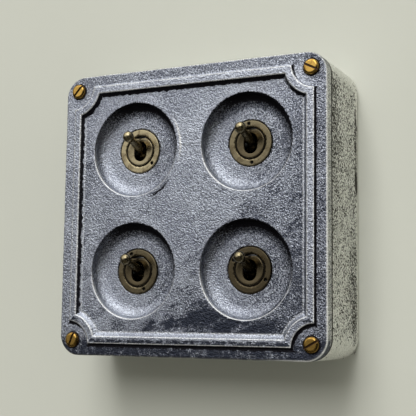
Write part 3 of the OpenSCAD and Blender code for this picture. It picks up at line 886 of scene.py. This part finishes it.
def cover_screw(gang, place):
    """A slotted screw; its head is two halves with the slot between them."""
    turn = math.radians(SLOT_TURNS[gang])
    slot_half = HEAD_R * 0.14
    slot_h = MARGIN_H + HEAD_T / 2
    top_h = MARGIN_H + HEAD_T
    rounding = HEAD_T * 0.7
    shell = Shell()
    tip = [(0, SHANK_END_H), (SHANK_R - 0.3, SHANK_END_H), (SHANK_R, SHANK_END_H + 0.3)]
    shell.lathe(tip + [(SHANK_R, MARGIN_H), (HEAD_R, MARGIN_H)], 96)
    half_count, end_count = 40, 8
    crown = [(HEAD_R, slot_h)] + [
        (HEAD_R - rounding * (1 - math.cos(t)), top_h - (rounding + 0.1) * (1 - math.sin(t)))
        for t in np.radians((0, 22, 45, 67, 90))
    ]
    open_angle = math.asin(slot_half / HEAD_R)
    floor = []
    for side in (0, math.pi):
        rows = []
        for r, h in [(HEAD_R, MARGIN_H)] + crown:
            start = math.asin(slot_half / r)
            half = arc((0, 0), r, side + turn + start, side + turn + math.pi - start, half_count)
            rows.append(shell.level(half, h))
        for lower, upper in zip(rows, rows[1:]):
            shell.band(lower, upper, closed=False)
        shell.faces.append(tuple(int(i) for i in rows[-1]))
        cheek = [int(row[0]) for row in rows[1:]] + [int(row[-1]) for row in reversed(rows[1:])]
        shell.faces.append(tuple(cheek))
        end = arc((0, 0), HEAD_R, side + turn - open_angle, side + turn + open_angle, end_count)
        shell.band(shell.level(end, MARGIN_H), shell.level(end, slot_h), closed=False)
        floor.append(end)
    round_floor = shell.level(np.concatenate(floor), slot_h)
    shell.faces.append(tuple(round_floor.tolist()))
    screw = shell.build(f"cover_screw_{gang}", bright_brass, place)
    plan = plan_of(screw)
    # painted shade round the foot of the head and on the slot floor
    at_foot = 0.4 * smoothstep(MARGIN_H + 0.8, MARGIN_H, plan[:, 2])
    paint(screw, "grime_and_shade", np.maximum(at_foot, np.abs(plan[:, 2] - slot_h) < 0.05))
    paint(screw, "age", SCREW_AGE[gang])
    soften(screw, 0.1)
    fit(screw, "case", "bright_brass", "cover_screws")


def dress_ring(gang):
    bore_r, chamfer = 8.05, 0.3
    hole_r, hole_at, hole_depth = 0.9, 10.0, 1.2
    bore_edge = 0.6
    turn = math.radians(RING_TURNS[gang])
    holes = [hole_at * side * np.array([math.cos(turn), math.sin(turn)]) for side in (1, -1)]
    shell = Shell()
    outside = [(RING_R - chamfer, RING_H), (RING_R, RING_H - chamfer), (RING_R, SEAT_H + 0.2)]
    bore = [(bore_r, SEAT_H), (bore_r, RING_H - bore_edge), (bore_r + bore_edge, RING_H)]
    shell.lathe(outside + [(RING_R - 0.2, SEAT_H)] + bore, 120)
    outlines = [circle((0, 0), RING_R - chamfer, 120), circle((0, 0), bore_r + bore_edge, 120)]

    def on_face(p):
        r = distance_from(p, (0, 0))
        clear = np.all([distance_from(p, hole) > hole_r for hole in holes], axis=0)
        return (r > bore_r + bore_edge - 0.01) & (r < RING_R - chamfer) & clear

    shell.cap(outlines + [circle(hole, hole_r, 24) for hole in holes], on_face, RING_H, 0.6)
    for hole in holes:
        hole_h = RING_H - hole_depth
        shell.lathe([(hole_r, RING_H), (hole_r, hole_h), (0, hole_h - 0.3)], 24, hole)
    ring = shell.build(f"dress_ring_{gang}_turned", old_brass, SWITCH_PLACES[gang])
    plan = plan_of(ring)
    r = distance_from(plan, (0, 0))
    # painted shade in the spanner holes, in the gap at the bore and round the ring's foot
    in_hole = (np.abs(r - hole_at) < hole_r + 0.1) & (plan[:, 2] < RING_H - 0.1)
    at_bore = smoothstep(bore_r + bore_edge, bore_r + 0.1, r)
    at_foot = smoothstep(RING_H - 0.4, DISH_FLOOR_H, plan[:, 2]) * (r > hole_at)
    paint(ring, "grime_and_shade", np.maximum.reduce([in_hole, at_bore, at_foot]))
    paint(ring, "age", BRASS_AGE[gang])
    soften(ring, 0.08)
    fit(ring, "case", "antique_brass", f"dress_ring_{gang}")


def bush(gang):
    bush_r, flat, chamfer = 8.0, 7.2, 0.55
    shoulder_r, bore_r = 9.4, 6.0
    base_h = plan_box(f"bush_{gang}")[0][2]
    shoulder_h, ceiling_h = base_h + 1.2, RING_H - 1.6
    slot_half_l, slot_r, dished = 5.35, 3.6, 0.55
    reach = slot_half_l - slot_r

    def barrel(inset):
        """The barrel's outline, with its flat at the top."""
        r, top = bush_r - inset, flat - inset
        start = math.asin(top / r)
        half_w = r * math.cos(start)
        around = arc((0, 0), r, math.pi - start, 2 * math.pi + start, 96)
        return joined(around, straight((half_w, top), (-half_w, top), 14))

    slot = joined(
        arc((0, reach), slot_r, 0, math.pi, 24), straight((-slot_r, reach), (-slot_r, -reach), 6),
        arc((0, -reach), slot_r, math.pi, 2 * math.pi, 24), straight((slot_r, -reach), (slot_r, reach), 6),
    )

    def outside_slot(p, spread=0):
        return np.hypot(p[:, 0], np.maximum(np.abs(p[:, 1]) - reach, 0)) > slot_r + spread

    def face_h(p):
        """The face is hollowed inside a narrow rim."""
        share = np.minimum(distance_from(p, (0, 0)) / (flat - 0.5), 1)
        return RING_H - dished * (1 - share ** 2)

    def on_face(p):
        return outside_slot(p) & (distance_from(p, (0, 0)) < bush_r - chamfer) & (p[:, 1] < flat - chamfer)

    def under_face(p):
        return outside_slot(p) & (distance_from(p, (0, 0)) < bore_r)

    shell = Shell()
    shell.cap([barrel(chamfer), slot], on_face, face_h, 0.6)
    shell.sweep([(barrel(chamfer), RING_H), (barrel(0), RING_H - chamfer), (barrel(0), shoulder_h)])
    shell.sweep([(slot, face_h(slot)), (slot, ceiling_h)])
    shell.cap([slot, circle((0, 0), bore_r, 96)], under_face, ceiling_h)
    shell.lathe([(bore_r, ceiling_h), (bore_r, base_h), (shoulder_r, base_h), (shoulder_r, shoulder_h)], 96)
    around = [barrel(0), circle((0, 0), shoulder_r, 96)]
    shell.cap(around, lambda p: (distance_from(p, (0, 0)) > bush_r) | (p[:, 1] > flat), shoulder_h)
    piece = shell.build(f"bush_{gang}_turned", old_brass, SWITCH_PLACES[gang])
    plan = plan_of(piece)
    r = distance_from(plan, (0, 0))
    # painted shade at the edge by the ring and down the slot
    at_flat = smoothstep(flat - chamfer, flat, plan[:, 1])
    at_edge = np.maximum(smoothstep(bush_r - chamfer, bush_r, r), at_flat)
    below_face = smoothstep(-0.1, -0.8, plan[:, 2] - face_h(plan))
    in_slot = ~outside_slot(plan, 0.05) * below_face
    paint(piece, "grime_and_shade", np.maximum(at_edge, in_slot))
    paint(piece, "age", BRASS_AGE[gang] + 0.3)
    soften(piece, 0.12)
    fit(piece, "case", "antique_brass", f"bush_{gang}")


def tilt_up(thing, toggle):
    """Moves a piece made along the pivot's axis out of the wall to the pivot, tilted as at rest."""
    thing.location = toggle["pos_m"]
    thing.rotation_euler = (math.radians(-sum(toggle["range_deg"]) / 2), 0, 0)


def lever(gang, toggle):
    """The dolly, turned in one piece; heights are along its axis, from the pivot."""
    hub_r, root_r, root_at, neck_r = 3.3, 2.55, 1.6, 1.5
    ball_r, reach = 2.95, 17.7
    tail_r, tail_l, bore_r = 2.6, 8.0, 1.7

    def cone_r(height):
        return root_r + (neck_r - root_r) * (height - root_at) / (reach - root_at)

    shell = Shell()
    bore = [(0, -LEVER_BORE_START), (bore_r, -LEVER_BORE_START), (bore_r, -tail_l)]
    hub = arc((0, 0), hub_r, *np.radians((-38, 34)), 12).tolist()
    cone = [(cone_r(height), height) for height in np.linspace(2.4, 14.6, 12)]
    fillet = [(cone_r(14.9) + 0.03, 14.9), (cone_r(15.1) + 0.12, 15.1)]
    ball = arc((0, reach), ball_r, *np.radians((-52, 86)), 23).tolist()
    shell.lathe(bore + [(tail_r, -tail_l)] + hub + cone + fillet + ball + [(0, reach + ball_r)], 64)
    dolly = shell.build(f"lever_{gang}_turned", old_brass)
    paint(dolly, "age", 0.4 * BRASS_AGE[gang])
    tilt_up(dolly, toggle)
    soften(dolly, 0.15, 50)
    fit(dolly, toggle["child"], "antique_brass", f"lever_{gang}")


def spring(gang, toggle):
    """The coil in the tail of the dolly, made at one length; the real one shortens along the tail
    as the plunger goes in.
    """
    wire_r, coil_r, turns = 0.22, 1.2, 4
    plunger_top, slip = 6.0, 0.05
    wire_sides, steps_a_turn = 8, 24
    rise = plunger_top - LEVER_BORE_START - 2 * wire_r - slip
    first_h = -plunger_top + wire_r + slip / 2
    shell = Shell()
    rows = []
    for share in np.linspace(0, 1, turns * steps_a_turn + 1):
        out, height = circle((coil_r, first_h + share * rise), wire_r, wire_sides).T
        angle = 2 * math.pi * turns * share
        rows.append(shell.add(np.column_stack([out * math.cos(angle), out * math.sin(angle), height])))
    for lower, upper in zip(rows, rows[1:]):
        shell.band(lower, upper)
    shell.faces += [tuple(row.tolist()) for row in (rows[0], rows[-1])]
    coil = shell.build(f"spring_{gang}_coil", spring_steel)
    tilt_up(coil, toggle)
    fit(coil, toggle["child"], "spring_steel", f"spring_{gang}")
    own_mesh(coil)


# ---- stage ----

def direction(azimuth, elevation):
    """The way from the object to a place seen at an azimuth, 0 straight in front and 90 to the right."""
    a, e = math.radians(azimuth), math.radians(elevation)
    return Vector((math.sin(a) * math.cos(e), -math.cos(a) * math.cos(e), math.sin(e)))


def stage_sheet(name, points, faces, material):
    mesh = bpy.data.meshes.new(name)
    mesh.from_pydata([Vector(point) * MM for point in points], [], faces)
    mesh.materials.append(material)
    thing = new_object(name, mesh)
    return thing


def painted(name, colour, one_sided):
    """Matt paint; a one-sided surface is not there for anything that comes from behind it."""
    mix = Recipe(name, metallic=0.0, roughness=0.75, specular_ior_level=0.0)
    mottle = mix.noise(60, 2.0)
    darker = tuple(part * 0.97 for part in colour)
    mix.set(base_color=mix.blend(mottle, colour, darker), normal=mix.bump(mix.noise(1.2), 0.02))
    if one_sided:
        behind = mix.node("ShaderNodeNewGeometry").outputs["Backfacing"]
        clear = mix.node("ShaderNodeBsdfTransparent").outputs[0]
        both = mix.node("ShaderNodeMixShader", behind, mix.shader.outputs[0], clear).outputs[0]
        mix.tree.links.new(both, mix.tree.nodes["Material Output"].inputs["Surface"])
    return mix.material


def wall_and_floor():
    """The wall is open behind the box, so that light reaches its back in a view from there."""
    far, low, behind, overlap = 1500, -300, 0.2, 1.0
    edges = np.array([(-far, low), (far, low), (far, far), (-far, far)])
    found, triangles = sheet([edges, case_loop(overlap)], lambda p: case_inset(p) < overlap)
    wall = [(x, behind, z) for x, z in found]
    wall_paint = painted("wall_paint", (0.60, 0.615, 0.565), one_sided=True)
    stage_sheet("wall", wall, triangles.tolist(), wall_paint)
    corners = [(-far, -far, low), (far, -far, low), (far, far, low), (-far, far, low)]
    floor_paint = painted("floor_paint", (0.62, 0.62, 0.60), one_sided=False)
    floor = stage_sheet("floor", corners, [(0, 1, 2, 3)], floor_paint)
    floor.visible_glossy = False
    floor.visible_diffuse = False
    floor.visible_shadow = False


BACKDROP = (0.60, 0.605, 0.56, 1)
# azimuth, elevation, inner and outer edge in degrees, colour
SOFT_BOXES = (
    (0, 0, 0, 180, (0.02, 0.02, 0.02)),
    (-28, 35, 12, 45, (1.15, 1.15, 1.15)),
    (20, 40, 8, 24, (3.0, 3.0, 2.93)),
    (-36, 48, 4, 14, (2.2, 2.2, 2.2)),
    (10, 78, 6, 26, (2.4, 2.4, 2.32)),
    (180, 25, 30, 100, (0.75, 0.75, 0.72)),
    (0, -60, 20, 60, (0.06, 0.055, 0.045)),
)
FILL = (
    (0, 0, 0, 180, (0.12, 0.118, 0.100)),
    (80, 15, 10, 110, (0.46, 0.453, 0.40)),
    (180, 30, 20, 80, (0.9, 0.9, 0.87)),
)


def studio_sky():
    """A pale backdrop to look at, a soft fill on matt surfaces, and soft boxes for the metal to mirror."""
    world = bpy.data.worlds.new("studio")
    bpy.context.scene.world = world
    world.use_nodes = True
    world.cycles.sampling_method = "NONE"
    sky = Nodes(world.node_tree)
    sky.tree.nodes.clear()
    way = sky.node("ShaderNodeTexCoord").outputs["Generated"]

    def soft_box(azimuth, elevation, inner, outer, colour):
        """Colour within inner degrees of a direction, fading out at outer degrees."""
        aim = direction(azimuth, elevation)
        nearness = sky.node("ShaderNodeVectorMath", way, aim, operation="DOT_PRODUCT").outputs["Value"]
        edge = sky.step(nearness, math.cos(math.radians(outer)), math.cos(math.radians(inner)))
        glow = sky.node("ShaderNodeVectorMath", colour, operation="SCALE")
        sky.link(edge, glow.inputs["Scale"])
        return glow.outputs[0]

    def glow_of(boxes):
        total = soft_box(*boxes[0])
        for box in boxes[1:]:
            total = sky.node("ShaderNodeVectorMath", total, soft_box(*box), operation="ADD").outputs[0]
        return total

    ray = sky.node("ShaderNodeLightPath")
    shown = sky.node("ShaderNodeBackground", glow_of(SOFT_BOXES)).outputs[0]
    for kind, colour in (("Is Diffuse Ray", glow_of(FILL)), ("Is Camera Ray", BACKDROP)):
        other = sky.node("ShaderNodeBackground", colour).outputs[0]
        shown = sky.node("ShaderNodeMixShader", ray.outputs[kind], shown, other).outputs[0]
    sky.node("ShaderNodeOutputWorld", shown)


def lamp(name, azimuth, elevation, distance, size, power, colour):
    """A soft box that faces the object, for matt surfaces only: metal mirrors the sky's own boxes."""
    light = bpy.data.lights.new(name, "AREA")
    light.shape = "RECTANGLE"
    light.size, light.size_y = size
    light.energy = power
    light.color = colour
    thing = new_object(name, light)
    thing.location = direction(azimuth, elevation) * distance
    thing.rotation_euler = direction(azimuth, elevation).to_track_quat("Z", "Y").to_euler()
    thing.visible_glossy = False


def camera():
    azimuth, elevation, roll = 26.07, -6.73, 0.72
    distance, target = 501.8, Vector((6.99, -40.0, 1.40))
    view = bpy.data.cameras.new("camera")
    view.sensor_width = 36.0
    view.lens = 84.4
    view.clip_start, view.clip_end = 0.01, 20.0
    thing = new_object("camera", view)
    back = direction(azimuth, elevation)
    facing = back.to_track_quat("Z", "Y").to_matrix().to_4x4()
    rolled = facing @ Matrix.Rotation(math.radians(roll), 4, "Z")
    thing.matrix_world = Matrix.Translation((target + back * distance) * MM) @ rolled
    bpy.context.scene.camera = thing


front_cover()
back_box()
joints = {joint["name"]: joint for joint in frame["joints"]}
for gang, screw_place in zip(GANGS, SCREW_PLACES):
    toggle = joints[f"toggle_{gang}_throw"]
    cover_screw(gang, screw_place)
    dress_ring(gang)
    bush(gang)
    lever(gang, toggle)
    spring(gang, toggle)
finish_hidden_nodes()
wall_and_floor()
studio_sky()
lamp("key", azimuth=0, elevation=42, distance=4.0, size=(1.9, 4.6), power=178, colour=(1.0, 0.985, 0.95))
camera()
bpy.context.scene.view_settings.view_transform = "Standard"
